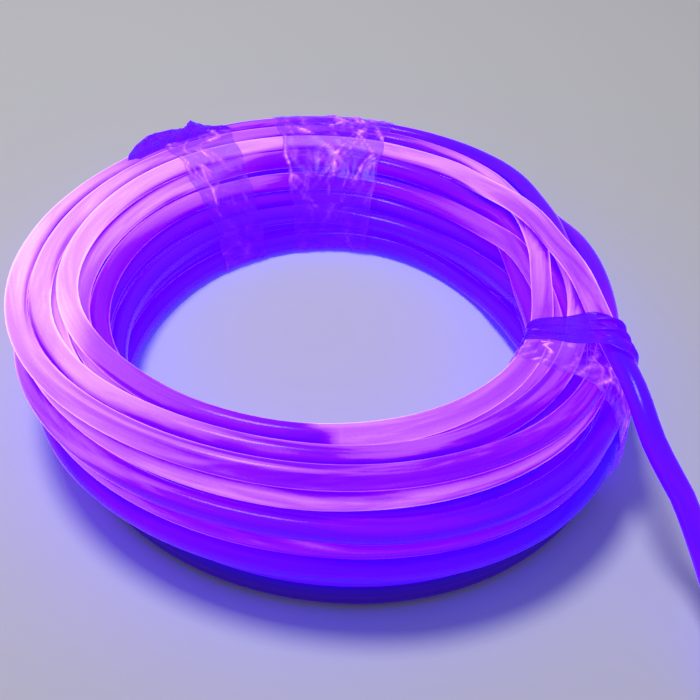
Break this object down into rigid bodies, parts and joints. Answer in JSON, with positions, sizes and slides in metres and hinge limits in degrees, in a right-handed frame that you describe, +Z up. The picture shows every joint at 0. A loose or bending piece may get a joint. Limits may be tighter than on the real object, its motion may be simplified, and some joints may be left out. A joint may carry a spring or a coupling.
{
  "type": "side glow fiber optic cable coil",
  "caption": "Loose round coil of thick clear side glow fiber optic cable lit violet, tied with clear packing tape, its free end lying out and cut square.",
  "frame": {"origin": "bottom centre of the whole object's box, on the floor that the coil lies on", "axes": "+Z up along the coil's axis; -Y towards the side where the free end is laid out; +X towards the side where the free end leaves the coil"},
  "size_m": [0.3206, 0.4208, 0.0753],
  "materials": {
    "side_glow_cable": "clear smooth soft plastic light guide, lit from inside with violet light",
    "clear_tape": "clear glossy packing tape, a little wrinkled"
  },
  "bodies": {
    "root": {"coil": "side_glow_cable", "free_end": "side_glow_cable", "tape_back_left": "clear_tape", "tape_back": "clear_tape", "tape_right": "clear_tape"}
  },
  "joints": []
}
